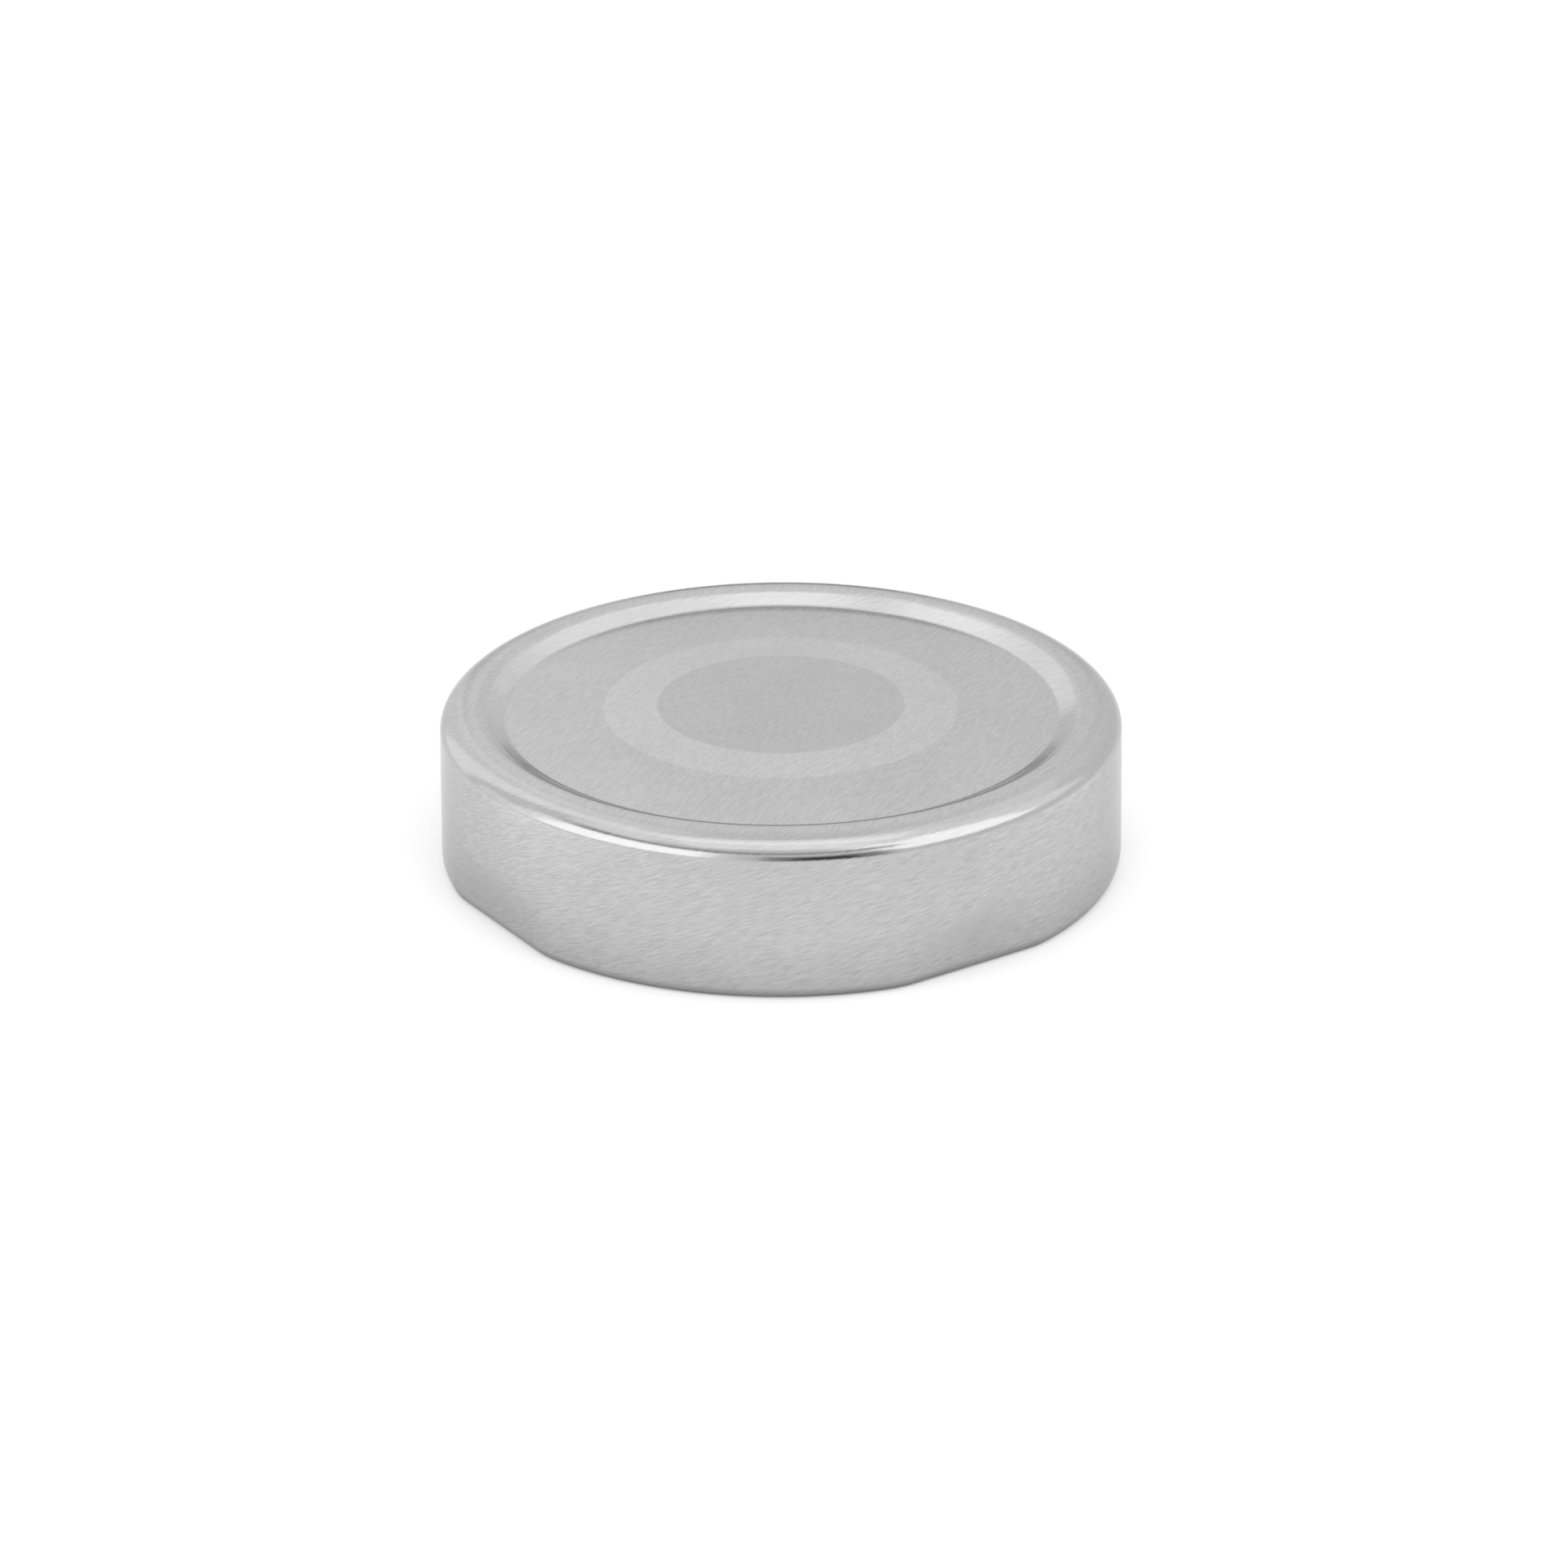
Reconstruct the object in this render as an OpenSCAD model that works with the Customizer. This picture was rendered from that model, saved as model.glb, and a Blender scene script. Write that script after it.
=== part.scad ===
// Twist off jar lid, deep form, standing on its curl with the top up.
// The origin is the middle of the plane it rests on, and the front of the lid faces -Y.

/* [Shell] */
// Widest outside diameter, at the foot of the skirt
lid_d = 69.4; // [60:0.1:90]
// Height from the resting plane to the top of the rim
lid_h = 16.5; // [14:0.1:22]
// Thickness of the tinplate
sheet_t = 0.22; // [0.15:0.01:0.3]
// How much wider in radius the skirt is at its foot than under the corner
skirt_flare = 0.2; // [0:0.01:0.4]
// Width of the rounded corner between rim and skirt, in plan
corner_w = 3.2; // [2.6:0.1:3.6]
// Height of the rounded corner
corner_h = 2.25; // [1.6:0.05:2.6]

/* [Pressed top] */
// Width of the rim that stands round the sunken panel, up to where its corner begins
rim_w = 1.05; // [1.05:0.05:1.6]
// Depth of the panel's edge below the rim
panel_depth = 1.16; // [0.8:0.01:1.25]
// Width of the sloping wall between rim and panel
step_w = 2.2; // [2.1:0.05:3.2]
// How far the panel rises from its edge to the ring
panel_rise = 0.53; // [0.1:0.01:0.55]
// Height of the panel's own gentle bow over a straight line
panel_bow = 0.07; // [0.01:0.01:0.12]
// Outside diameter of the sloping ring round the button
ring_d = 35.9; // [30:0.1:42]
// How far the ring rises to the flat button
ring_rise = 0.24; // [0.05:0.01:0.35]
// Diameter of the flat safety button in the middle
button_d = 25; // [14:0.1:28]
// Bend radius at the foot of the sloping wall, on the upper face
bend_r = 0.3; // [0.2:0.05:0.8]
// Bend radius over which the rim rolls down into the sloping wall
rim_bend_r = 3; // [1:0.1:3]
// Bend radius of the two shallow creases of the ring
crease_r = 8; // [3:0.5:12]

/* [Curl and lugs] */
// Width and height over which the skirt rounds in to its lowest line
foot_w = 0.7; // [0.5:0.05:1]
foot_h = 1.4; // [1:0.05:2]
// Width in plan of the whole curl that follows inwards, the rounding included
curl_w = 1.5; // [1.4:0.05:2]
// Height of the rolled part of the curl
curl_h = 1.5; // [1.3:0.05:2]
// How far round the sheet is rolled, in degrees
curl_turn = 288; // [234:18:288]
// Number of lugs
lug_count = 4; // [3:1:6]
// Direction of the first lug, in degrees from +X
lug_turn = 33.8; // [0:0.1:89]
// Half the angle that one pressed flat takes up on the skirt
lug_half_angle = 13.5; // [11:0.5:17]
// Rounding where a flat runs out into the round skirt, in depth
lug_blend = 0.1; // [0.02:0.01:0.2]
// Height at which the pressed flats have faded into the skirt
flat_h = 7.5; // [5:0.1:9]
// How far the curl is widened inwards at a lug
lug_widen = 0.45; // [0:0.05:0.6]
// How much flatter the curl is pressed at a lug
lug_flatten_h = 0.4; // [0:0.05:0.6]
// Part of the flat's half angle over which the lug has its full width
lug_full = 0.4; // [0.2:0.05:0.7]

/* [Sealing ring] */
// Thickness of the sealing compound under the rim
seal_t = 0.75; // [0.5:0.05:0.9]
// How far inwards of the rim's inner edge its flat land begins
seal_reach = 0.9; // [0.6:0.1:1.1]
// Width of that flat land, on which the jar's mouth presses
seal_land_w = 2; // [1.5:0.1:2.2]
// Width and height over which the compound thins out inwards from that land
seal_edge_w = 0.4; // [0.2:0.05:0.6]
seal_edge_h = 0.14; // [0.05:0.01:0.3]
// How far the compound runs down the inside of the skirt, below its land
seal_run = 1.3; // [0.6:0.1:2.5]

/* [Hidden] */
$fn = 96;

// Steps of the lofted foot round the lid, one step of the curl in degrees, and steps of the fading flats
round_steps = 120;
curl_step = 18;
fade_steps = 6;
// Steps of one bend, of the panel's arc, of the corner and of the compound's rounded side
bend_steps = 6;
panel_steps = 6;
corner_steps = 10;
seal_steps = 6;
// The foot's loft starts this far above the flats, and laps the plain skirt by this much
foot_margin = 0.5;
foot_lap = 0.03;

lid_r = lid_d / 2;
top_r = lid_r - skirt_flare;
corner_bottom = lid_h - corner_h;
rim_out_r = top_r - corner_w;
rim_in_r = rim_out_r - rim_w;
panel_r = rim_in_r - step_w;
panel_z = lid_h - panel_depth;
ring_z = panel_z + panel_rise;
button_z = ring_z + ring_rise;
foot_top = flat_h + foot_margin;
round_step = 360 / round_steps;
facet_grow = 1 / cos(round_step / 2);

function lerp(a, b, t) = a + (b - a) * t;
function smooth(t) = let (c = min(1, max(0, t))) c * c * (3 - 2 * c);
function reversed(list) = [for (i = [len(list) - 1 : -1 : 0]) list[i]];
function unit(v) = v / norm(v);

// Outside radius of the plain skirt at height z
function skirt_r(z) = lerp(lid_r, top_r, (z - foot_h) / (corner_bottom - foot_h));

// The upper face of the pressed top in section: [radius, height, bend radius] at each crease.
// The panel between ring and sloping wall is one shallow arc.
panel_arc = [for (i = [1 : panel_steps - 1])
    let (t = i / panel_steps)
    [lerp(ring_d / 2, panel_r, t), lerp(ring_z, panel_z, t) + 4 * panel_bow * t * (1 - t), 0]];
creases = concat(
    [[0, button_z, 0], [button_d / 2, button_z, crease_r], [ring_d / 2, ring_z, crease_r]],
    panel_arc,
    [[panel_r, panel_z, bend_r], [rim_in_r, lid_h, rim_bend_r], [rim_out_r, lid_h, 0]]
);

// Points of the bend at crease b, between its neighbours a and c
function bend(a, b, c) =
    let (
        p = [b.x, b.y],
        u = unit([a.x, a.y] - p),
        v = unit([c.x, c.y] - p),
        half = acos(u * v) / 2,
        reach = b.z / tan(half),
        middle = p + unit(u + v) * b.z / sin(half),
        from = p + u * reach - middle,
        to = p + v * reach - middle,
        sweep = atan2(from.x * to.y - from.y * to.x, from * to)
    )
    [for (i = [0 : bend_steps])
        let (turn = sweep * i / bend_steps)
        middle + [from.x * cos(turn) - from.y * sin(turn), from.x * sin(turn) + from.y * cos(turn)]];

pressed_top = [for (i = [1 : len(creases) - 2])
    each creases[i].z > 0 ? bend(creases[i - 1], creases[i], creases[i + 1]) : [[creases[i].x, creases[i].y]]];
corner = [for (i = [0 : corner_steps])
    let (turn = 90 - 90 * i / corner_steps)
    [rim_out_r + corner_w * cos(turn), corner_bottom + corner_h * sin(turn)]];

// The whole upper face from the axis to the end of the plain skirt, and the under face one sheet inside it
upper_face = concat([[0, button_z]], pressed_top, corner, [[skirt_r(foot_top), foot_top]]);
function face_normal(a, b) = let (d = unit(b - a)) [-d.y, d.x];
function sheet_below(face, i) =
    i == 0 ? face[0] - [0, sheet_t] :
    i == len(face) - 1 ? face[i] - [sheet_t, 0] :
    let (
        n1 = face_normal(face[i - 1], face[i]),
        n2 = face_normal(face[i], face[i + 1]),
        n = unit(n1 + n2)
    )
    face[i] - n * sheet_t / (n * n1);
under_face = [for (i = [0 : len(upper_face) - 1]) sheet_below(upper_face, i)];

module plain_shell() {
    rotate_extrude() polygon(concat(upper_face, reversed(under_face)));
}

// Depth that the flats are pressed in at an angle from the nearest lug, and how much of a lug is there
function from_lug(angle) =
    let (pitch = 360 / lug_count, a = angle - lug_turn)
    a - pitch * round(a / pitch);
function pressed_in(angle) =
    let (chord = lid_r * (1 - cos(lug_half_angle) / cos(from_lug(angle))))
    (chord + sqrt(chord * chord + 4 * lug_blend * lug_blend)) / 2;
function lug_share(angle) = smooth((1 - abs(from_lug(angle)) / lug_half_angle) / (1 - lug_full));

// How much of the pressing is left at height z
function fade(z) = 1 - smooth((z - foot_h) / (flat_h - foot_h));

// Middle line of the sheet at one angle: down the skirt, round its foot to the lowest line,
// then round the curl. Each entry is [radius, height, outward normal].
function oval(x, z, w, h, turn) =
    [x + w * cos(turn), z + h * sin(turn), unit([h * cos(turn), w * sin(turn)])];
function foot_line(angle) =
    let (
        half_t = sheet_t / 2,
        press = pressed_in(angle),
        share = lug_share(angle),
        low_r = lid_r - press - foot_w,
        roll_w = curl_w + lug_widen * share - foot_w - half_t,
        roll_h = (curl_h - lug_flatten_h * share) / 2 - half_t
    )
    concat(
        [for (i = [0 : fade_steps])
            let (z = i == 0 ? foot_top : lerp(flat_h, foot_h, (i - 1) / fade_steps))
            [skirt_r(z) - press * fade(z) - half_t, z, [1, 0]]],
        [for (turn = [0 : -curl_step : -curl_turn])
            turn > -90
                ? oval(low_r, foot_h, foot_w - half_t, foot_h - half_t, turn)
                : oval(low_r, half_t + roll_h, roll_w, roll_h, turn)]
    );

function side_of(line, shift) = [for (p = line) [p.x, p.y] + p.z * shift];

// One closed section of the foot. Its top end laps the plain skirt on both faces.
function foot_section(angle) =
    let (
        line = foot_line(angle),
        outside = side_of(line, sheet_t / 2),
        inside = side_of(line, -sheet_t / 2)
    )
    concat(
        [[outside[0].x * facet_grow + foot_lap / 3, outside[0].y]],
        [for (i = [1 : len(line) - 1]) outside[i]],
        [for (i = [len(line) - 1 : -1 : 1]) inside[i]],
        [[inside[0].x - foot_lap, inside[0].y]]
    );

module lofted_foot() {
    sections = [for (k = [0 : round_steps - 1])
        let (angle = lug_turn + k * round_step)
        [for (p = foot_section(angle)) [p.x * cos(angle), p.x * sin(angle), p.y]]];
    n = len(sections[0]);
    faces = [for (k = [0 : round_steps - 1], i = [0 : n - 1])
        let (next = (k + 1) % round_steps, up = (i + 1) % n)
        [k * n + i, next * n + i, next * n + up, k * n + up]];
    polyhedron([for (s = sections) each s], faces, convexity = 6);
}

// Pressed from one disc of tinplate: top, rim, corner, skirt, curl and lugs in one piece
module lid_shell() {
    color("silver") {
        plain_shell();
        lofted_foot();
    }
}

// Sealing compound flowed into the channel under the rim, bounded by the sheet's under face
land_z = lid_h - sheet_t - seal_t;
land_in_r = rim_in_r - seal_reach;
land_out_r = land_in_r + seal_land_w;
wall_r = top_r - sheet_t;
seal_end_z = land_z - seal_run;

module sealing_ring() {
    free_face = [
        [land_in_r - 2 * seal_edge_w, land_z + 2 * seal_edge_h],
        [land_in_r, land_z],
        for (i = [0 : seal_steps])
            let (turn = 90 * i / seal_steps)
            [lerp(land_out_r, wall_r, sin(turn)), lerp(seal_end_z, land_z, cos(turn))],
        [lid_r, seal_end_z]
    ];
    color("ivory") rotate_extrude() intersection() {
        polygon(concat(under_face, [[0, foot_top]]));
        polygon(concat(free_face, [[lid_r, lid_h], [land_in_r - 2 * seal_edge_w, lid_h]]));
    }
}

lid_shell();
sealing_ring();
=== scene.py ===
import math

import bpy
import numpy as np
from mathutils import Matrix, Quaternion, Vector


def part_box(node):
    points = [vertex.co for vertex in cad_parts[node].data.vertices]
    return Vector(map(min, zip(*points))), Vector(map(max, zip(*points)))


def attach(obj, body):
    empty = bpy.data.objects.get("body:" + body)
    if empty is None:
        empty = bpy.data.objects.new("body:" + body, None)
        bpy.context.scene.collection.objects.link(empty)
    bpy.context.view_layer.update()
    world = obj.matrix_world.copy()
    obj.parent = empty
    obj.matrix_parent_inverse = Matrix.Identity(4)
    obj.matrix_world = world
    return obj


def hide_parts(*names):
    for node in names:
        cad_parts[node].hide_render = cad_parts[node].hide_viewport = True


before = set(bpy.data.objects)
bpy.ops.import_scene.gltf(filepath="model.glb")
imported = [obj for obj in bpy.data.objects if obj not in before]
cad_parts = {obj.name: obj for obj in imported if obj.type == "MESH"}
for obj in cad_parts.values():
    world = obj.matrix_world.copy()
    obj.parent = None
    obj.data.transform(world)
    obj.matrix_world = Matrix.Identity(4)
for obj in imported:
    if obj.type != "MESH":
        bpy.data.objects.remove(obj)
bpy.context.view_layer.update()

mm = 0.001  # the lid's own sizes are written in millimetres
sharpCrease = 38  # edges that turn by more degrees than this stay crisp in the shading
print("frame loaded")


# helpers for shader nodes

def newMaterial(name):
    material = bpy.data.materials.new(name)
    material.use_nodes = True
    material.node_tree.nodes.clear()
    return material, material.node_tree


def socketOf(node, key):
    # i2 is the third input, any other key is an input's name with _ for a space
    if key[0] == "i" and key[1:].isdigit():
        return node.inputs[int(key[1:])]
    return node.inputs[key.replace("_", " ")]


def addNode(tree, kind, settings=None, **sockets):
    node = tree.nodes.new(kind)
    for key, value in (settings or {}).items():
        setattr(node, key, value)
    for key, value in sockets.items():
        socket = socketOf(node, key)
        if isinstance(value, bpy.types.NodeSocket):
            tree.links.new(value, socket)
        else:
            socket.default_value = value
    return node


def mathNode(tree, operation, first, second=0.0, third=0.0):
    node = addNode(tree, "ShaderNodeMath", {"operation": operation}, i0=first, i1=second, i2=third)
    return node.outputs[0]


def vectorNode(tree, operation, first, second=(0, 0, 0)):
    return addNode(tree, "ShaderNodeVectorMath", {"operation": operation}, i0=first, i1=second).outputs


def rangeNode(tree, value, fromLow, fromHigh, toLow, toHigh):
    node = addNode(tree, "ShaderNodeMapRange", None, Value=value, From_Min=fromLow, From_Max=fromHigh,
                   To_Min=toLow, To_Max=toHigh)
    return node.outputs["Result"]


def noiseNode(tree, vector, scale, detail=2.0, roughness=0.5):
    node = addNode(tree, "ShaderNodeTexNoise", None, Vector=vector, Scale=scale, Detail=detail,
                   Roughness=roughness)
    return node.outputs["Fac"]


def dotNode(tree, vector, direction):
    return vectorNode(tree, "DOT_PRODUCT", vector, direction)["Value"]


def combineNode(tree, x, y, z):
    return addNode(tree, "ShaderNodeCombineXYZ", None, X=x, Y=y, Z=z).outputs[0]


def heightOf(tree, vector):
    return addNode(tree, "ShaderNodeSeparateXYZ", None, Vector=vector).outputs["Z"]


def mixNumbers(tree, factor, first, second):
    node = addNode(tree, "ShaderNodeMix", {"data_type": "FLOAT"}, i0=factor, i2=first, i3=second)
    return node.outputs[0]


def bumpNode(tree, strength, distance, height, normal=None):
    node = addNode(tree, "ShaderNodeBump", None, Strength=strength, Distance=distance, Height=height)
    if normal:
        tree.links.new(normal, node.inputs["Normal"])
    return node.outputs[0]


# the lid's section

shell = {
    "inset": 0.012,  # keeps the smooth skin just inside the solid's box
    "height": 16.5, "sheet": 0.22, "flare": 0.2,
    "cornerWidth": 3.6, "cornerHeight": 2.25,
    "rimWidth": 0.65, "wallWidth": 2.2, "panelDepth": 1.16, "panelRise": 0.53, "panelBow": 0.07,
    "ringRadius": 17.95, "ringRise": 0.24, "buttonRadius": 12.5,
    "wallBend": 0.5, "rimBend": 2.5, "creaseBend": 8.0,
    "footWidth": 0.7, "footHeight": 1.4, "curlWidth": 1.5, "curlHeight": 1.5, "curlTurn": 288,
    "lugCount": 4, "lugTurn": 33.8, "lugHalfAngle": 13.5, "lugBlend": 0.1, "lugFull": 0.4,
    "lugWiden": 0.45, "lugSquash": 0.4, "flatHeight": 7.5,
    "stepsRound": 320, "wallBendSteps": 5, "rimBendSteps": 14, "creaseBendSteps": 6, "panelSteps": 14,
    "cornerSteps": 22, "skirtSteps": 20, "footSteps": 9, "curlSteps": 22,
    "supportGap": 0.12,  # rings this close to a bend keep the flat parts flat in the shading
    "supportSpan": 6,  # only stretches longer than this many gaps get them
    "creaseGap": 1.0,  # the bowed panel's first point is left out where it is this close to the ring
}
shell["radius"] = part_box("lid_shell")[1].x / mm - shell["inset"]
shell["topRadius"] = shell["radius"] - shell["flare"]
shell["cornerBottom"] = shell["height"] - shell["cornerHeight"]


def smooth(t):
    t = min(1.0, max(0.0, t))
    return t * t * (3 - 2 * t)


def bendPoints(a, b, c, radius, steps):
    # arc of the given radius that rounds the crease at b between its neighbours a and c
    a, b, c = (np.array(p, float) for p in (a, b, c))
    u, v = (a - b) / np.linalg.norm(a - b), (c - b) / np.linalg.norm(c - b)
    half = math.acos(float(np.clip(u @ v, -1, 1))) / 2
    middle = b + (u + v) / np.linalg.norm(u + v) * radius / math.sin(half)
    start = b + u * radius / math.tan(half) - middle
    end = b + v * radius / math.tan(half) - middle
    sweep = math.atan2(start[0] * end[1] - start[1] * end[0], float(start @ end))
    points = []
    for i in range(steps + 1):
        t = sweep * i / steps
        points.append(middle + [start[0] * math.cos(t) - start[1] * math.sin(t),
                                start[0] * math.sin(t) + start[1] * math.cos(t)])
    return points


def withSupports(points, s):
    # extra points near both ends of every long straight stretch
    gap = s["supportGap"]
    result = [np.array(points[0], float)]
    for point in points[1:]:
        last, point = result[-1], np.array(point, float)
        span = np.linalg.norm(point - last)
        if span > s["supportSpan"] * gap:
            along = (point - last) / span
            if last[0] > 0:
                result.append(last + along * gap)
            result.append(point - along * gap)
        result.append(point)
    return result


def topFace(s):
    # upper face in section from the axis to the lower end of the rounded corner
    rimOut = s["topRadius"] - s["cornerWidth"]
    rimIn = rimOut - s["rimWidth"]
    panelOut, panelZ = rimIn - s["wallWidth"], s["height"] - s["panelDepth"]
    ringZ = panelZ + s["panelRise"]
    buttonZ = ringZ + s["ringRise"]
    button, ring = (s["buttonRadius"], buttonZ), (s["ringRadius"], ringZ)
    edge, crest = (panelOut, panelZ), (rimIn, s["height"])
    panel = []
    for i in range(1, s["panelSteps"]):
        t = i / s["panelSteps"]
        panel.append((s["ringRadius"] + (panelOut - s["ringRadius"]) * t,
                      ringZ + (panelZ - ringZ) * t + 4 * s["panelBow"] * t * (1 - t)))
    closeStart = np.linalg.norm(np.array(panel[0]) - ring) < s["creaseGap"]
    points = [(0, buttonZ)]
    points += bendPoints((0, buttonZ), button, ring, s["creaseBend"], s["creaseBendSteps"])
    points += bendPoints(button, ring, panel[0], s["creaseBend"], s["creaseBendSteps"])
    points += panel[1:] if closeStart else panel
    points += bendPoints(panel[-1], edge, crest, s["wallBend"], s["wallBendSteps"])
    points += bendPoints(edge, crest, (rimOut, s["height"]), s["rimBend"], s["rimBendSteps"])
    for i in range(s["cornerSteps"] + 1):
        turn = math.pi / 2 * (1 - i / s["cornerSteps"])
        points.append((rimOut + s["cornerWidth"] * math.cos(turn),
                       s["cornerBottom"] + s["cornerHeight"] * math.sin(turn)))
    return withSupports(points, s)


def underOf(points, thickness):
    # the same line one sheet thickness inside, mitred at each point
    points = np.array(points)
    steps = np.diff(points, axis=0)
    steps /= np.linalg.norm(steps, axis=1)[:, None]
    normals = np.stack([-steps[:, 1], steps[:, 0]], 1)
    first, last = np.vstack([[0, 1], normals]), np.vstack([normals, [1, 0]])
    between = first + last
    between /= np.linalg.norm(between, axis=1)[:, None]
    return points - between * thickness / (between * first).sum(1)[:, None]


def pressedIn(s, degrees):
    # how far the foot is pressed in at one angle, and the lug's share of its full shape there
    pitch = 360 / s["lugCount"]
    away = degrees - s["lugTurn"]
    away = away - pitch * round(away / pitch)
    flat = math.cos(math.radians(s["lugHalfAngle"])) / math.cos(math.radians(away))
    chord = s["radius"] * (1 - flat)
    press = (chord + math.sqrt(chord * chord + 4 * s["lugBlend"] ** 2)) / 2
    share = smooth((1 - abs(away) / s["lugHalfAngle"]) / (1 - s["lugFull"]))
    return press, share


def footFaces(s, degrees):
    # outer and inner face below the corner at one angle: skirt, rounded foot, curl
    press, share = pressedIn(s, degrees)
    half = s["sheet"] / 2
    outer, inner = [], []
    for i in range(1, s["skirtSteps"] + 1):
        z = s["cornerBottom"] + (s["footHeight"] - s["cornerBottom"]) * i / s["skirtSteps"]
        fade = 1 - smooth((z - s["footHeight"]) / (s["flatHeight"] - s["footHeight"]))
        plain = s["radius"] - s["flare"] * (z - s["footHeight"]) / (s["cornerBottom"] - s["footHeight"])
        outer.append((plain - press * fade, z))
        inner.append((plain - press * fade - s["sheet"], z))
    low = s["radius"] - press - s["footWidth"]
    rollWidth = s["curlWidth"] + s["lugWiden"] * share - s["footWidth"] - half
    rollHeight = (s["curlHeight"] - s["lugSquash"] * share) / 2 - half
    turns = [-90 * i / s["footSteps"] for i in range(1, s["footSteps"] + 1)]
    turns += [-90 - (s["curlTurn"] - 90) * i / s["curlSteps"] for i in range(1, s["curlSteps"] + 1)]
    for turn in turns:
        c, d = math.cos(math.radians(turn)), math.sin(math.radians(turn))
        if turn > -90:
            width, height, midZ = s["footWidth"] - half, s["footHeight"] - half, s["footHeight"]
        else:
            width, height, midZ = rollWidth, rollHeight, half + rollHeight
        normal = np.array([height * c, width * d])
        normal /= np.linalg.norm(normal)
        middle = np.array([low + width * c, midZ + height * d])
        outer.append(middle + normal * half)
        inner.append(middle - normal * half)
    return outer, inner


def revolve(name, sections, angles, closed):
    # skin over one section per angle; a point on the axis becomes a single vertex
    sections = np.array(sections, float)
    count, size = sections.shape[:2]
    onAxis = [abs(sections[0, i, 0]) < 1e-9 for i in range(size)]
    verts, index = [], np.zeros((count, size), int)
    for i in range(size):
        for k in range(count):
            if onAxis[i] and k > 0:
                index[k, i] = index[0, i]
                continue
            index[k, i] = len(verts)
            r, z = sections[k, i]
            verts.append((r * math.cos(angles[k]) * mm, r * math.sin(angles[k]) * mm, z * mm))
    faces = []
    for k in range(count):
        n = (k + 1) % count
        for i in range(size if closed else size - 1):
            j = (i + 1) % size
            if onAxis[i] and onAxis[j]:
                continue
            corners = [index[k, i], index[k, j], index[n, j], index[n, i]]
            faces.append(list(dict.fromkeys(int(c) for c in corners)))
    mesh = bpy.data.meshes.new(name)
    mesh.from_pydata(verts, [], faces)
    mesh.validate()
    mesh.shade_smooth()
    mesh.set_sharp_from_angle(angle=math.radians(sharpCrease))
    piece = bpy.data.objects.new(name, mesh)
    bpy.context.scene.collection.objects.link(piece)
    return piece


# tinplate shell

topOuter = topFace(shell)
topInner = [tuple(p) for p in underOf(topOuter, shell["sheet"])]
topInner[0] = (0.0, topInner[0][1])
angles, sections = [], []
for k in range(shell["stepsRound"]):
    degrees = shell["lugTurn"] + 360 * k / shell["stepsRound"]
    outer, inner = footFaces(shell, degrees)
    angles.append(math.radians(degrees))
    sections.append([tuple(p) for p in topOuter + outer + inner[::-1]] + topInner[::-1])
lidSkin = revolve("lid_shell_skin", sections, angles, closed=False)
outerCount = len(topOuter) + len(outer)
print("shell skin:", len(lidSkin.data.polygons), "faces")


# sealing compound

compound = {
    "thickness": 0.75, "landInner": 29.35, "landWidth": 2.0, "run": 1.3,
    "edgeWidth": 0.4, "edgeHeight": 0.14,
    "landBend": 0.35, "landBendSteps": 4, "sideSteps": 16, "stepsRound": 240,
    "into": 0.02,  # the hidden side sits this far into the sheet, so no two skins lie in one place
    "edgeSteps": 400,  # how finely the line where the thin edge meets the sheet is searched
}


def compoundFreeFace(s, c):
    # the face that shows: thin inner edge, flat land, then a quarter turn down the skirt
    landZ = s["height"] - s["sheet"] - c["thickness"]
    landIn, landOut = c["landInner"], c["landInner"] + c["landWidth"]
    wall = s["topRadius"] - s["sheet"]
    edge = (landIn - 2 * c["edgeWidth"], landZ + 2 * c["edgeHeight"])
    free = [edge] + bendPoints(edge, (landIn, landZ), (landOut, landZ), c["landBend"], c["landBendSteps"])
    for i in range(c["sideSteps"] + 1):
        turn = math.pi / 2 * i / c["sideSteps"]
        free.append((landOut + (wall - landOut) * math.sin(turn),
                     landZ - c["run"] * (1 - math.cos(turn))))
    return np.array([tuple(p) for p in free])


def compoundSection(s, c):
    free = compoundFreeFace(s, c)
    under = np.array(underOf(topFace(s), s["sheet"] - c["into"]))
    start = free[0]
    for i in range(c["edgeSteps"]):
        r = free[0][0] + (c["landInner"] - free[0][0]) * i / c["edgeSteps"]
        z = float(np.interp(r, free[:, 0], free[:, 1]))
        if z < float(np.interp(r, under[:, 0], under[:, 1])):
            start = np.array([r, z])
            break
    face = [start] + [p for p in free if p[0] > start[0]]
    face[-1] = np.array([s["topRadius"] - s["sheet"] + c["into"], face[-1][1]])
    back = [p for p in under if p[0] > start[0] and p[1] > face[-1][1]]
    return [tuple(p) for p in face + back[::-1]]


ringSection = compoundSection(shell, compound)
ringAngles = [2 * math.pi * k / compound["stepsRound"] for k in range(compound["stepsRound"])]
sealSkin = revolve("sealing_ring_skin", [ringSection] * len(ringAngles), ringAngles, closed=True)
print("sealing ring skin:", len(sealSkin.data.polygons), "faces")


# materials

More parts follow.
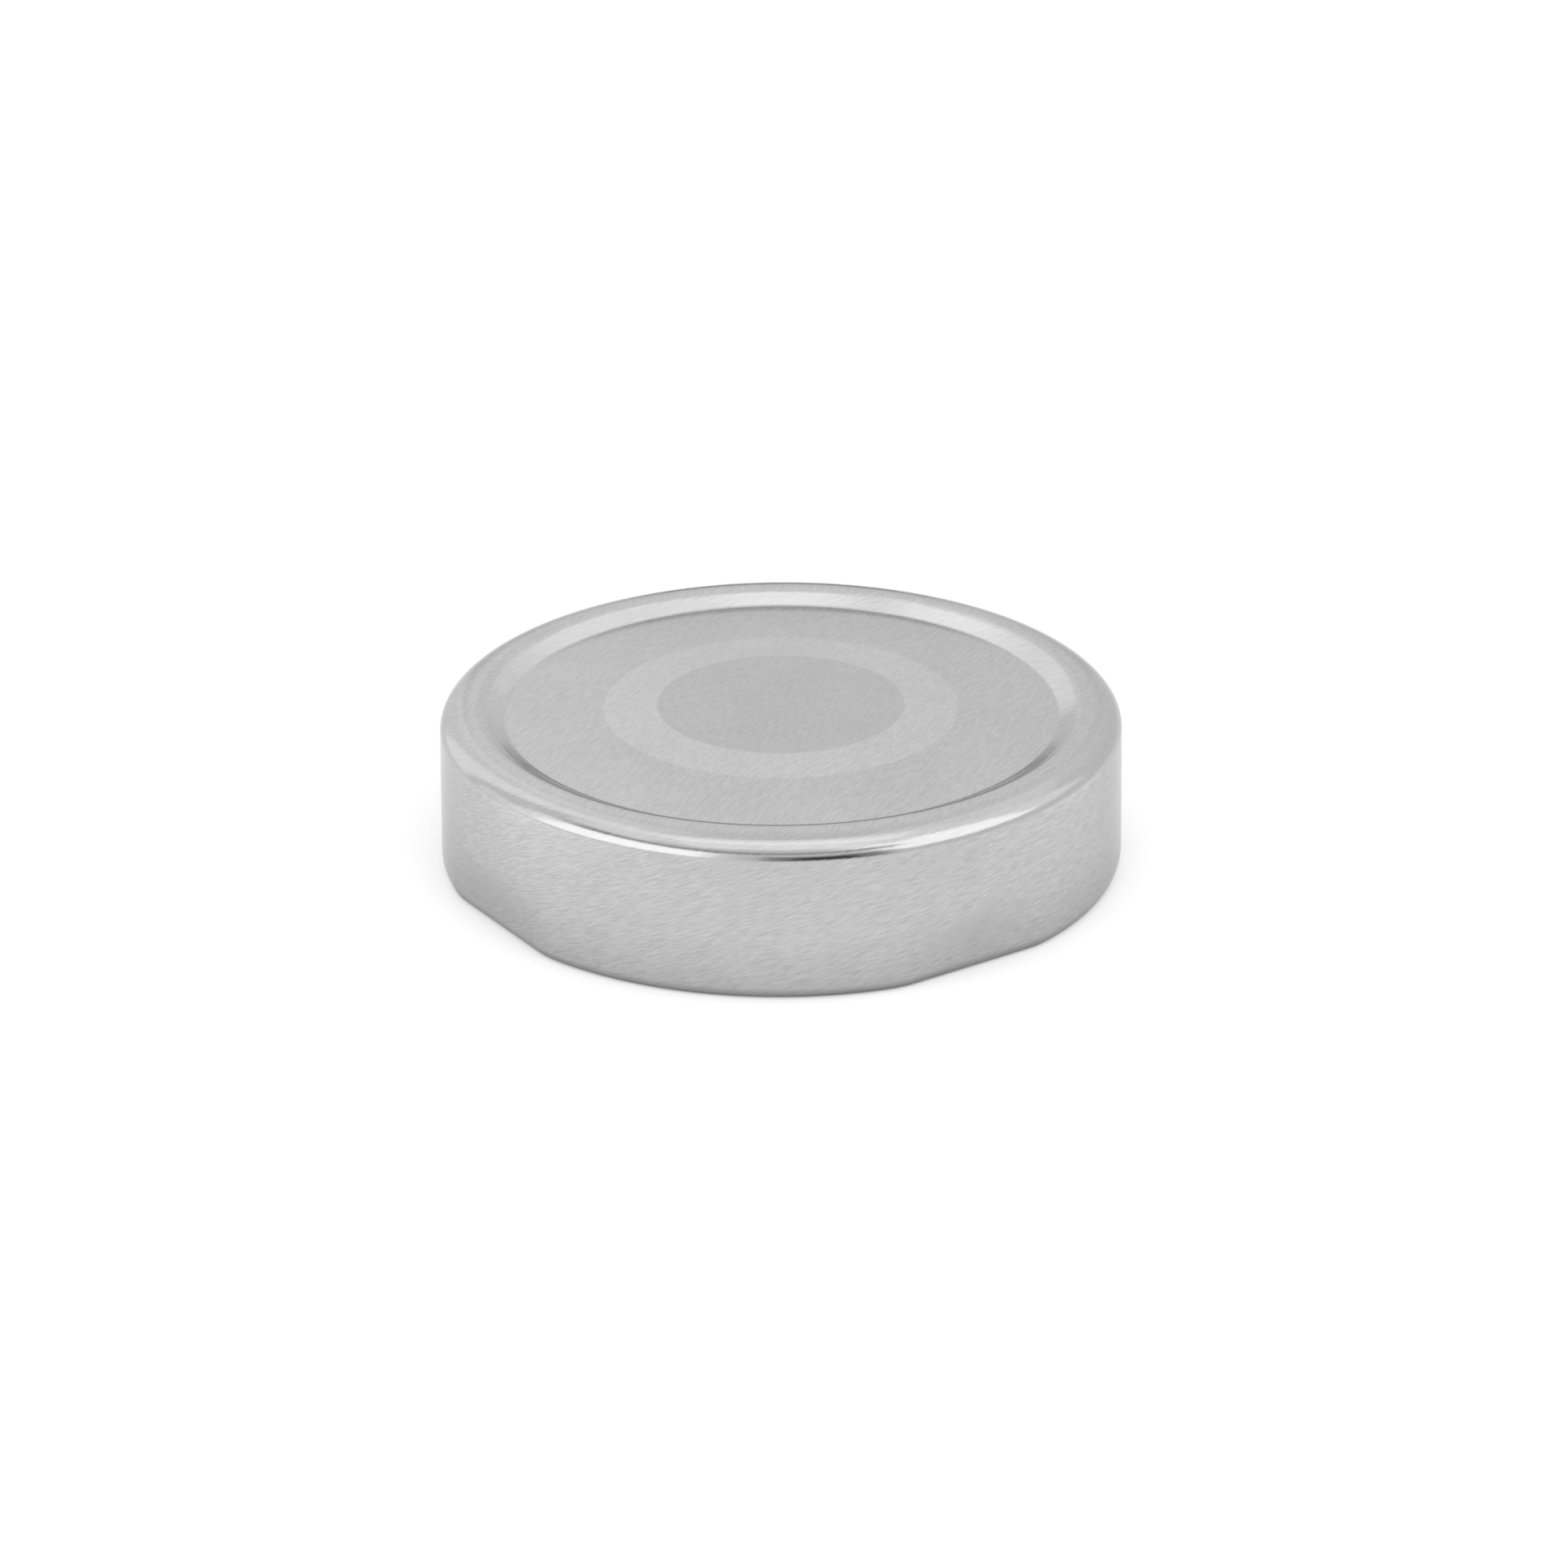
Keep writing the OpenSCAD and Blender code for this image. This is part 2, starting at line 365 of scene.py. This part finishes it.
tinplate = {
    "tone": 0.577, "toneSpread": 0.076, "grazingTone": 0.82,
    "roughnessLow": 0.11, "roughnessHigh": 0.21,
    "noiseLow": 0.3, "noiseHigh": 0.7,  # the noise that gives the lowest and highest tone and roughness
    "cloudScale": 90.0, "cloudShare": 0.2,  # broad patches between the streaks
    "streakAlong": 800.0, "streakAcross": 5600.0,  # how often the brushing changes, per metre
    "topStreakTurn": 61.0,  # direction of the brushing on the top, in degrees from +X
    "skirtAlong": 730.0, "skirtAcross": 7500.0,
    "skirtSlopeX": 0.34, "skirtSlopeY": -0.25,  # how the brushing climbs round the skirt
    "skirtGain": 1.55,  # the skirt's brushing is coarser than the top's
    # how level a face is, from 0 upright to 1 flat, where one kind of brushing gives way to the next
    "skirtToTop": (0.91, 0.98), "skirtToCorner": (0.04, 0.3), "cornerToTop": (0.91, 0.99),
    "cornerGrain": 0.35,  # share of the brushing left on the rolled corner
    "ringPaintedLight": 1.09, "buttonPaintedShade": 0.965,  # painted highlight on the ring and painted shade on the button
    "zoneEdge": 0.15,  # half the width over which one zone gives way to the next
    "outerPaintedShade": 0.81, "outerFrom": 31.4, "outerTo": 33.0,  # painted shade: the corner and skirt are a little darker
    "footPaintedShade": 0.86, "footFade": 6.5,  # painted shade towards the foot, over this height
    "footLinePaintedShade": 0.55, "edgeFade": 1.1,  # and painted shade, darkest at the line that it stands on
    "streakDepth": 0.28, "streakHeight": 0.00004,
    "waveScale": 55.0, "waveDepth": 0.06, "waveHeight": 0.0004,
}
inside = dict(tinplate, tone=0.60, toneSpread=0.015, roughnessLow=0.30, roughnessHigh=0.38,
              streakDepth=0.05, waveDepth=0.05, lacquer=0.5, lacquerRoughness=0.12)
plastisol = {
    "tone": (0.80, 0.79, 0.75), "toneSpread": 0.03,
    "roughness": 0.48, "roughnessSpread": 0.06,
    "noiseLow": 0.3, "noiseHigh": 0.7, "cloudScale": 120.0,
    "grain": 900.0, "grainDepth": 0.15, "grainHeight": 0.0001,
}


def streakNoise(tree, place, directions):
    return noiseNode(tree, combineNode(tree, *(dotNode(tree, place, d) for d in directions)), 1.0, 3.0, 0.6)


def brushedStreaks(tree, coords, look):
    place = coords.outputs["Object"]
    turn = math.radians(look["topStreakTurn"])
    along, across = look["streakAlong"], look["streakAcross"]
    top = streakNoise(tree, place, [
        (math.cos(turn) * along, math.sin(turn) * along, 0),
        (-math.sin(turn) * across, math.cos(turn) * across, 0),
        (0, 0, along)])
    along, across = look["skirtAlong"], look["skirtAcross"]
    skirt = streakNoise(tree, place, [
        (along, 0, 0),
        (0, along, 0),
        (-look["skirtSlopeX"] * across, -look["skirtSlopeY"] * across, across)])
    gain = look["skirtGain"]
    skirt = mathNode(tree, "MULTIPLY_ADD", skirt, gain, 0.5 - 0.5 * gain)
    level = mathNode(tree, "ABSOLUTE", heightOf(tree, coords.outputs["Normal"]))
    streaks = mixNumbers(tree, rangeNode(tree, level, *look["skirtToTop"], 0.0, 1.0), skirt, top)
    # the rolled corner is smoother than the skirt and the top
    amount = mathNode(tree, "MAXIMUM",
                      rangeNode(tree, level, *look["skirtToCorner"], 1.0, look["cornerGrain"]),
                      rangeNode(tree, level, *look["cornerToTop"], look["cornerGrain"], 1.0))
    offset = mathNode(tree, "MULTIPLY", mathNode(tree, "SUBTRACT", streaks, 0.5), amount)
    return mathNode(tree, "ADD", offset, 0.5)


def paintedZoneShade(tree, place, look, s):
    # painted highlight on the ring, painted shade on the button, the corner, the skirt and towards the foot
    radius = vectorNode(tree, "LENGTH", vectorNode(tree, "MULTIPLY", place, (1, 1, 0))[0])["Value"]
    height = heightOf(tree, place)
    edge = look["zoneEdge"]
    # painted highlight on the ring, painted shade on the button
    inRing = rangeNode(tree, radius, (s["buttonRadius"] - edge) * mm, (s["buttonRadius"] + edge) * mm,
                       look["buttonPaintedShade"], look["ringPaintedLight"])
    outRing = rangeNode(tree, radius, (s["ringRadius"] - edge) * mm, (s["ringRadius"] + edge) * mm,
                        0.0, 1.0)
    # painted shade on the corner and skirt
    outer = rangeNode(tree, radius, look["outerFrom"] * mm, look["outerTo"] * mm, 1.0, look["outerPaintedShade"])
    top = mathNode(tree, "MULTIPLY", mixNumbers(tree, outRing, inRing, 1.0), outer)
    # painted shade, darker towards the foot
    foot = rangeNode(tree, height, 0.0, look["footFade"] * mm, look["footPaintedShade"], 1.0)
    # painted shade, darkest at the line the lid stands on
    footLinePaintedShade = rangeNode(tree, height, 0.0, look["edgeFade"] * mm, look["footLinePaintedShade"], 1.0)
    return mathNode(tree, "MULTIPLY", top, mathNode(tree, "MULTIPLY", foot, footLinePaintedShade))


def brushedMetal(name, look):
    material, tree = newMaterial(name)
    coords = addNode(tree, "ShaderNodeTexCoord")
    place = coords.outputs["Object"]
    streaks = brushedStreaks(tree, coords, look)
    clouds = noiseNode(tree, place, look["cloudScale"], 3.0, 0.55)
    waves = noiseNode(tree, place, look["waveScale"], 1.0, 0.4)
    blend = mathNode(tree, "ADD", mathNode(tree, "MULTIPLY", streaks, 1 - look["cloudShare"]),
                     mathNode(tree, "MULTIPLY", clouds, look["cloudShare"]))
    tone = rangeNode(tree, blend, look["noiseLow"], look["noiseHigh"],
                     look["tone"] - look["toneSpread"], look["tone"] + look["toneSpread"])
    # the painted highlight and painted shade of each zone scale the tone
    tone = mathNode(tree, "MULTIPLY", tone, paintedZoneShade(tree, place, look, shell))
    roughness = rangeNode(tree, blend, look["noiseLow"], look["noiseHigh"],
                          look["roughnessLow"], look["roughnessHigh"])
    wave = bumpNode(tree, look["waveDepth"], look["waveHeight"], waves)
    streak = bumpNode(tree, look["streakDepth"], look["streakHeight"], streaks, wave)
    shader = addNode(tree, "ShaderNodeBsdfPrincipled", None, Base_Color=combineNode(tree, tone, tone, tone),
                     Metallic=1.0, Roughness=roughness, Normal=streak)
    shader.inputs["Specular Tint"].default_value = (look["grazingTone"],) * 3 + (1,)
    addNode(tree, "ShaderNodeOutputMaterial", None, Surface=shader.outputs[0])
    return material, shader


def lacqueredMetal(name, look):
    material, shader = brushedMetal(name, look)
    shader.inputs["Coat Weight"].default_value = look["lacquer"]
    shader.inputs["Coat Roughness"].default_value = look["lacquerRoughness"]
    return material


def softCompound(name, look):
    material, tree = newMaterial(name)
    place = addNode(tree, "ShaderNodeTexCoord").outputs["Object"]
    clouds = noiseNode(tree, place, look["cloudScale"], 3.0)
    grain = noiseNode(tree, place, look["grain"], 2.0)
    shade = [rangeNode(tree, clouds, look["noiseLow"], look["noiseHigh"],
                       c - look["toneSpread"], c + look["toneSpread"]) for c in look["tone"]]
    rough = rangeNode(tree, clouds, look["noiseLow"], look["noiseHigh"],
                      look["roughness"] - look["roughnessSpread"],
                      look["roughness"] + look["roughnessSpread"])
    shader = addNode(tree, "ShaderNodeBsdfPrincipled", None, Base_Color=combineNode(tree, *shade),
                     Roughness=rough, Normal=bumpNode(tree, look["grainDepth"], look["grainHeight"], grain))
    addNode(tree, "ShaderNodeOutputMaterial", None, Surface=shader.outputs[0])
    return material


lidSkin.data.materials.append(brushedMetal("brushed_tinplate", tinplate)[0])
lidSkin.data.materials.append(lacqueredMetal("lacquered_inside", inside))
facesPerStep = len(sections[0]) - 1
lacqueredFaces = np.arange(facesPerStep) >= outerCount
lidSkin.data.polygons.foreach_set("material_index",
                                  np.tile(lacqueredFaces.astype(np.int32), shell["stepsRound"]))
sealSkin.data.materials.append(softCompound("sealing_plastisol", plastisol))

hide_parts("lid_shell")
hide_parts("sealing_ring")
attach(lidSkin, "root")
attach(sealSkin, "root")
print("materials done")


# studio

studio = {
    "floorHalf": 3.0, "floorTone": 0.85, "floorLift": 0.20, "floorDrop": 0.00003,
    "worldLight": 0.78,
    "domeRadius": 1.6,
    "lampReach": 0.98,  # the softboxes stand just inside the dome
    "cardReach": 1.05, "cardStep": 0.0015,  # the cards outside it, each a little nearer than the last
    "cardRows": 12, "cardColumns": 24,
    # cards seen only in reflections: elevations, azimuths (0 in front, 90 to the right), strength
    "cards": {
        "front_gap": ((0, 29), (-6, 34), 0.36),
        "front_core": ((3, 22), (4, 24), 0.04),
        "front_edge": ((41, 52), (-88, 48), 0.50),
        "back_wall": ((14, 33), (160, 184), 0.90),
        "back_upper": ((33, 73), (160, 184), 0.94),
        "back_wall_left": ((14, 66), (184, 196), 0.96),
        "back_low": ((0, 14), (165, 195), 0.84),
        "back_line": ((0, 12), (176, 184), 0.42),
        "back_left_soft": ((0, 66), (196, 215), 1.14),
        "back_left_strip": ((0, 66), (215, 238), 1.40),
        "back_right_low": ((20, 44), (140, 152), 1.06),
        "back_right": ((40, 70), (122, 152), 1.20),
        "left_edge": ((0, 40), (-97, -84), 1.40),
        "left_spill": ((0, 22), (-114, -97), 1.25),
        "left_upper": ((52, 72), (-112, -60), 1.30),
        "front_left": ((2, 38), (-24, -14), 1.15),
        "right_upper": ((57, 70), (50, 93), 1.30),
        "right_spill": ((20, 70), (93, 120), 1.30),
    },
    # softboxes: direction (elevation, azimuth), size in degrees (wide, high), strength over white
    "softboxes": {
        "overhead_box": ((80, 0), (42, 28), 0.46),
        "overhead_back": ((82.2, 180), (64, 14.5), 0.50),
        "left_box": ((24, -57), (66, 38), 1.00),
        "right_box": ((43, 72), (62, 42), 0.92),
    },
    # lamps that light the floor beside the lid, which the skirt mirrors: place, aim, width, power
    "washes": {
        "front_wash": ((-0.17, -0.09, 0.11), (-0.06, -0.03, 0), 0.08, 0.03),
        "left_wash": ((-0.10, -0.03, 0.035), (-0.055, -0.02, 0), 0.03, 0.008),
        "right_wash": ((0.10, 0.0, 0.035), (0.05, 0.0, 0), 0.03, 0.007),
    },
}


def whiteRays(tree):
    path = addNode(tree, "ShaderNodeLightPath")
    seen = mathNode(tree, "MAXIMUM", path.outputs["Is Camera Ray"], path.outputs["Is Glossy Ray"])
    return mathNode(tree, "MAXIMUM", seen, path.outputs["Is Transmission Ray"])


def makeFloor(look):
    half, tone = look["floorHalf"], look["floorTone"]
    mesh = bpy.data.meshes.new("floor")
    mesh.from_pydata([(-half, -half, 0), (half, -half, 0), (half, half, 0), (-half, half, 0)],
                     [], [(0, 1, 2, 3)])
    floor = bpy.data.objects.new("floor", mesh)
    bpy.context.scene.collection.objects.link(floor)
    floor.location.z = -look["floorDrop"]
    material, tree = newMaterial("pale_floor")
    diffuse = addNode(tree, "ShaderNodeBsdfDiffuse", None, Color=(tone, tone, tone, 1))
    lift = addNode(tree, "ShaderNodeEmission", None,
                   Strength=mathNode(tree, "MULTIPLY", whiteRays(tree), look["floorLift"]))
    both = addNode(tree, "ShaderNodeAddShader", None, i0=diffuse.outputs[0], i1=lift.outputs[0])
    addNode(tree, "ShaderNodeOutputMaterial", None, Surface=both.outputs[0])
    mesh.materials.append(material)


def domePoint(look, elevation, azimuth):
    e, a, r = math.radians(elevation), math.radians(azimuth), look["domeRadius"]
    return Vector((r * math.cos(e) * math.sin(a), -r * math.cos(e) * math.cos(a), r * math.sin(e)))


def makeCard(name, look, order, elevations, azimuths, strength):
    rows, columns = look["cardRows"], look["cardColumns"]
    reach = look["cardReach"] - look["cardStep"] * order
    verts, faces = [], []
    for i in range(rows + 1):
        elevation = elevations[0] + (elevations[1] - elevations[0]) * i / rows
        for k in range(columns + 1):
            azimuth = azimuths[0] + (azimuths[1] - azimuths[0]) * k / columns
            verts.append(domePoint(look, elevation, azimuth) * reach)
    for i in range(rows):
        for k in range(columns):
            a = i * (columns + 1) + k
            faces.append((a, a + 1, a + columns + 2, a + columns + 1))
    mesh = bpy.data.meshes.new(name)
    mesh.from_pydata(verts, [], faces)
    card = bpy.data.objects.new(name, mesh)
    bpy.context.scene.collection.objects.link(card)
    card.visible_camera = card.visible_diffuse = card.visible_shadow = card.visible_transmission = False
    material, tree = newMaterial(name)
    emission = addNode(tree, "ShaderNodeEmission", None, Color=(1, 1, 1, 1), Strength=strength)
    addNode(tree, "ShaderNodeOutputMaterial", None, Surface=emission.outputs[0])
    mesh.materials.append(material)


def placeLamp(name, lamp, place, aim):
    light = bpy.data.objects.new(name, lamp)
    bpy.context.scene.collection.objects.link(light)
    light.location = place
    light.rotation_mode = "QUATERNION"
    light.rotation_quaternion = (light.location - Vector(aim)).to_track_quat("Z", "Y")
    light.visible_camera = False
    return light


def makeSoftbox(name, look, direction, size, strength):
    lamp = bpy.data.lights.new(name, "AREA")
    lamp.shape = "RECTANGLE"
    reach = look["domeRadius"] * look["lampReach"]
    lamp.size, lamp.size_y = (2 * reach * math.tan(math.radians(angle / 2)) for angle in size)
    lamp.energy = strength * math.pi * lamp.size * lamp.size_y
    placeLamp(name, lamp, domePoint(look, *direction) * look["lampReach"], (0, 0, 0))


def makeWash(name, place, aim, side, power):
    lamp = bpy.data.lights.new(name, "AREA")
    lamp.size, lamp.energy = side, power
    placeLamp(name, lamp, place, aim).visible_glossy = False


def makeWorld(look):
    world = bpy.data.worlds.new("studio_world")
    bpy.context.scene.world = world
    world.use_nodes = True
    tree = world.node_tree
    tree.nodes.clear()
    strength = mixNumbers(tree, whiteRays(tree), look["worldLight"], 1.0)
    backdrop = addNode(tree, "ShaderNodeBackground", None, Color=(1, 1, 1, 1), Strength=strength)
    addNode(tree, "ShaderNodeOutputWorld", None, Surface=backdrop.outputs[0])


makeFloor(studio)
for order, (cardName, card) in enumerate(studio["cards"].items()):
    makeCard(cardName, studio, order, *card)
for boxName, box in studio["softboxes"].items():
    makeSoftbox(boxName, studio, *box)
for washName, wash in studio["washes"].items():
    makeWash(washName, *wash)
makeWorld(studio)
print("studio done")


# camera

view = {
    "elevation": 24.066, "distance": 0.5175, "aimHeight": 0.0083,
    "lens": 116.74, "sensor": 36, "clip": (0.01, 50),
    "roll": -0.285, "shiftX": 0.00179, "shiftY": -0.00646,
}


def makeCamera(look):
    data = bpy.data.cameras.new("camera")
    data.lens, data.sensor_width = look["lens"], look["sensor"]
    data.shift_x, data.shift_y = look["shiftX"], look["shiftY"]
    data.clip_start, data.clip_end = look["clip"]
    camera = bpy.data.objects.new("camera", data)
    bpy.context.scene.collection.objects.link(camera)
    tilt = math.radians(look["elevation"])
    back = Vector((0, -math.cos(tilt), math.sin(tilt)))
    roll = Quaternion((0, 0, 1), math.radians(look["roll"]))
    camera.location = Vector((0, 0, look["aimHeight"])) + back * look["distance"]
    camera.rotation_mode = "QUATERNION"
    camera.rotation_quaternion = (-back).to_track_quat("-Z", "Y") @ roll
    bpy.context.scene.camera = camera


makeCamera(view)
bpy.context.scene.view_settings.view_transform = "Standard"

print("camera done")
